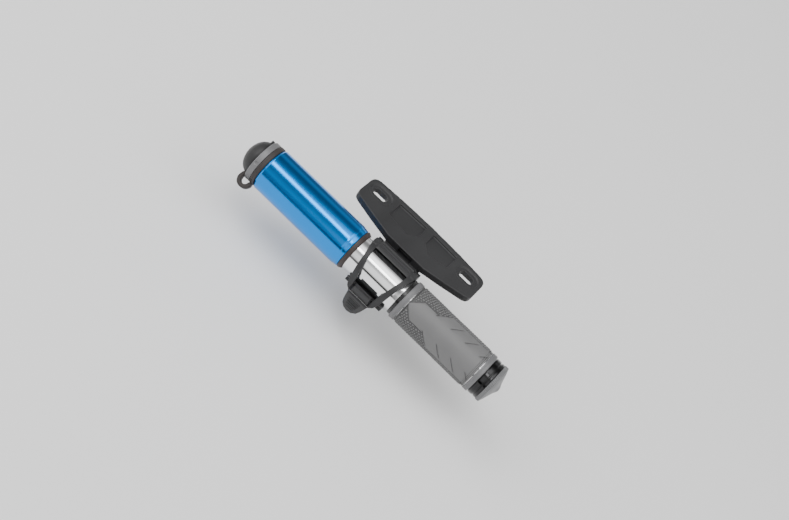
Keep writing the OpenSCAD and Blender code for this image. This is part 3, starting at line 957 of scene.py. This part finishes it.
def build_oring(node, body, bore):
    start, end = x_span(node)
    radius = outer_radius(node)
    profile = []
    for k in range(24):
        t = TURN * k / 24
        x = (start + end) / 2 + (end - start) / 2 * math.cos(t)
        r = (bore + radius) / 2 + (radius - bore) / 2 * math.sin(t)
        r += 0.02 * (abs(math.sin(t)) > 0.98)   # innermost point stands off the bore
        profile.append((x, min(r, radius)))
    turned_piece(node, body, "seal_rubber", SEAL, profile, segments=96, corners=0, sharp=60)


def build_seals():
    start, end = x_span("piston_seal")
    lip = outer_radius("piston_seal")
    profile = [(start, 8.03), (start, 9.2), (end - 0.5, lip), (end, lip), (end, 9.1),
               (start + 1.3, 8.85), (end, 8.6), (end, 8.03)]
    turned_piece("piston_seal", "handle", "seal_rubber", SEAL, profile, segments=128,
                 corners=0.08, steps=3)
    start, end = x_span("bumper_ring")
    profile = [(start, 6.06), (start, 8.5), (start + 0.5, 9.0), ((start + end) / 2, 8.75),
               (end - 0.5, 9.0), (end, 8.5), (end, 6.06)]
    turned_piece("bumper_ring", "handle", "seal_rubber", SEAL, profile, segments=128,
                 corners=0.2)
    start, end = x_span("chuck_gasket")
    profile = [(start, 2.35), (start, 4.0), (end, 4.0), (end, 2.35), ((start + end) / 2, 2.5)]
    turned_piece("chuck_gasket", "chuck", "seal_rubber", SEAL, profile, segments=96,
                 corners=0.2)


# CAD pieces that keep their own mesh
CAD_MATERIALS = {
    "rod_anchor": INNER_PLASTIC, "piston_head": INNER_PLASTIC, "ball_retainer": BRASS,
    "check_ball": STEEL, "hose_inner_stop": BRASS, "hose_nipple": CHROME,
    "thread_lock_chuck": SATIN_ALLOY, "barrel_gland": BRASS, "barrel_end_plug": BRASS,
    "band_spacers": GAP_BLACK,
}


def colour_cad_pieces():
    for node, material in CAD_MATERIALS.items():
        obj = frame["nodes"][node]
        if not obj.material_slots:
            obj.data.materials.append(material)
        for slot in obj.material_slots:
            slot.material = material


plain_ring("piston_rod", "handle", "rod_tube", DRAWN_TUBE, bore=4.7, segments=160)
build_hose()
build_oring("hose_gland_oring", "handle", bore=2.99)
build_oring("hose_stop_oring", "hose", bore=3.83)
build_oring("gland_oring", "barrel", bore=6.05)
build_oring("end_plug_oring", "barrel", bore=8.24)
build_seals()
colour_cad_pieces()


# ---------------------------------------------------------------- floor
def build_floor():
    cells, size = 8, 4
    z = CAD_LO[2] - 0.0234    # clears the dust cap when it hangs flipped
    ticks = [-size / 2 + size * i / cells for i in range(cells + 1)]
    row = cells + 1
    faces = [(i * row + j, (i + 1) * row + j, (i + 1) * row + j + 1, i * row + j + 1)
             for i in range(cells) for j in range(cells)]
    mesh = bpy.data.meshes.new("floor")
    mesh.from_pydata([(x, y, z) for x in ticks for y in ticks], [], faces)
    s = Shader("floor_pale")
    pale = s.mix(s.noise(scale=6, detail=3, rough=0.5), (0.86, 0.86, 0.86),
                 (0.89, 0.89, 0.89))
    mesh.materials.append(s.finish(Base_Color=pale, Roughness=0.9))
    link_object("floor", mesh)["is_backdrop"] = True


build_floor()

# ---------------------------------------------------------------- world
SKY_STRENGTH = 3.0
# Softboxes and dark flags round the pump axis: (degrees from OUT towards ACROSS, brightness).
SLEEVE_SKY = [
    (-180, 0.9), (-90, 0.85), (-78, 0.80), (-61, 0.68), (-53, 0.45), (-46, 0.26),
    (-38, 0.26), (-31, 0.42), (-24, 0.34), (-16, 0.70), (-9, 0.58), (-2, 0.48), (5, 0.36),
    (12, 0.26), (19, 0.60), (26, 1.0), (34, 1.0), (41, 0.85), (48, 0.5), (56, 0.28),
    (64, 0.24), (73, 0.2), (82, 0.2), (91, 0.45), (102, 0.55), (114, 0.26), (128, 0.26),
    (147, 0.8), (180, 0.9)]
GRIP_SKY = [
    (-180, 1.0), (-128, 1.5), (-86, 1.8), (-64, 1.7), (-55, 1.3), (-48, 0.8), (-45, 0.05),
    (-35, 0.05), (-31, 0.9), (-24, 1.4), (-11, 1.35), (-3, 1.4), (6, 0.75), (14, 0.65),
    (22, 1.4), (31, 3.0), (40, 3.0), (49, 2.6), (58, 1.1), (68, 0.36), (78, 0.28),
    (89, 0.25), (102, 0.9), (116, 0.42), (134, 1.1), (169, 0.8), (180, 1.0)]
# Wide fill beyond both ends, banded so that bright metal still reads from the ends.
END_SKY = [
    (-180, 1.35), (-120, 1.9), (-75, 1.9), (-55, 0.75), (-30, 0.75), (-10, 1.6), (15, 0.9),
    (30, 2.0), (60, 2.0), (80, 0.6), (120, 0.6), (150, 1.35), (180, 1.35)]


def build_world():
    world = bpy.data.worlds.new("studio")
    bpy.context.scene.world = world
    world.use_nodes = True
    graph = NodeGraph(world.node_tree)
    output = graph.node("OutputWorld")
    background = graph.node("Background", {1: SKY_STRENGTH})
    graph.feed(output.inputs[0], background.outputs[0])
    direction = graph.node("TexCoord").outputs["Generated"]

    def component(axis):
        inputs = {0: direction, 1: tuple(axis)}
        return graph.node("VectorMath", inputs, operation="DOT_PRODUCT").outputs["Value"]

    angle = graph.calc("ARCTAN2", component(ACROSS), component(OUT))
    turn = graph.map_range(angle, -math.pi, math.pi)

    def sky(stops):
        ramp = graph.node("ValToRGB", {0: turn})
        elements = ramp.color_ramp.elements
        while len(elements) > 1:
            elements.remove(elements[0])
        elements[0].position = 0
        elements[0].color = (stops[0][1] / SKY_STRENGTH,) * 3 + (1,)
        for degrees, brightness in stops[1:]:
            element = elements.new((degrees + 180) / 360)
            element.color = (brightness / SKY_STRENGTH,) * 3 + (1,)
        return ramp.outputs[0]

    sleeve_sky = sky(SLEEVE_SKY)
    grip_sky = sky(GRIP_SKY)
    # blend from sleeve to grip lighting over a narrow band of x directions
    grip_side = graph.map_range(component(ALONG), -0.112, -0.082)
    around = graph.mix(grip_side, sleeve_sky, grip_sky)
    end_sky = sky(END_SKY)
    endwise = graph.map_range(graph.calc("ABSOLUTE", component(ALONG)), 0.30, 0.50)
    lighting = graph.mix(endwise, around, end_sky)
    # past the floor's edge the camera sees one plain tone
    seen = graph.node("LightPath").outputs["Is Camera Ray"]
    plain = (1.0 / SKY_STRENGTH,) * 3
    graph.feed(background.inputs[0], graph.mix(seen, lighting, plain))


build_world()

# ---------------------------------------------------------------- lights
CENTRE = (Vector(CAD_LO) + Vector(CAD_HI)) / 2


def area_light(name, location, size, size_y, power):
    """Rectangular light aimed at the pump's centre; sizes in m, power in W."""
    light = bpy.data.lights.new(name, "AREA")
    light.shape = "RECTANGLE"
    light.size = size
    light.size_y = size_y
    light.energy = power
    obj = link_object(name, light)
    obj.location = location
    aim = CENTRE - Vector(location)
    obj.rotation_euler = aim.to_track_quat("-Z", "Y").to_euler()


strip_angle = math.radians(29)    # from OUT towards ACROSS
strip_side = (OUT * math.cos(strip_angle) + ACROSS * math.sin(strip_angle)).normalized()
area_light("strip", CENTRE + strip_side * 1.1 - ALONG * 0.25, size=1.5, size_y=0.20, power=5.0)
area_light("side", (-0.9, -0.5, 0.8), size=0.6, size_y=0.6, power=3.0)


# ---------------------------------------------------------------- camera
def build_camera():
    data = bpy.data.cameras.new("camera")
    camera = link_object("camera", data)
    bpy.context.scene.camera = camera
    data.sensor_width = 36
    data.lens = 61.14068441
    data.clip_start = 0.01
    data.clip_end = 20
    position = place(47.0, 0.0, 700.0)
    target = place(-1.0, 11.0, 0.0)
    roll = math.radians(44.0)     # the pump runs diagonally through the view
    level = ALONG * math.cos(roll) + ACROSS * math.sin(roll)
    back = (position - target).normalized()
    right = (level - back * level.dot(back)).normalized()
    up = back.cross(right)
    matrix = Matrix((right, up, back)).transposed().to_4x4()
    matrix.translation = position
    camera.matrix_world = matrix


build_camera()
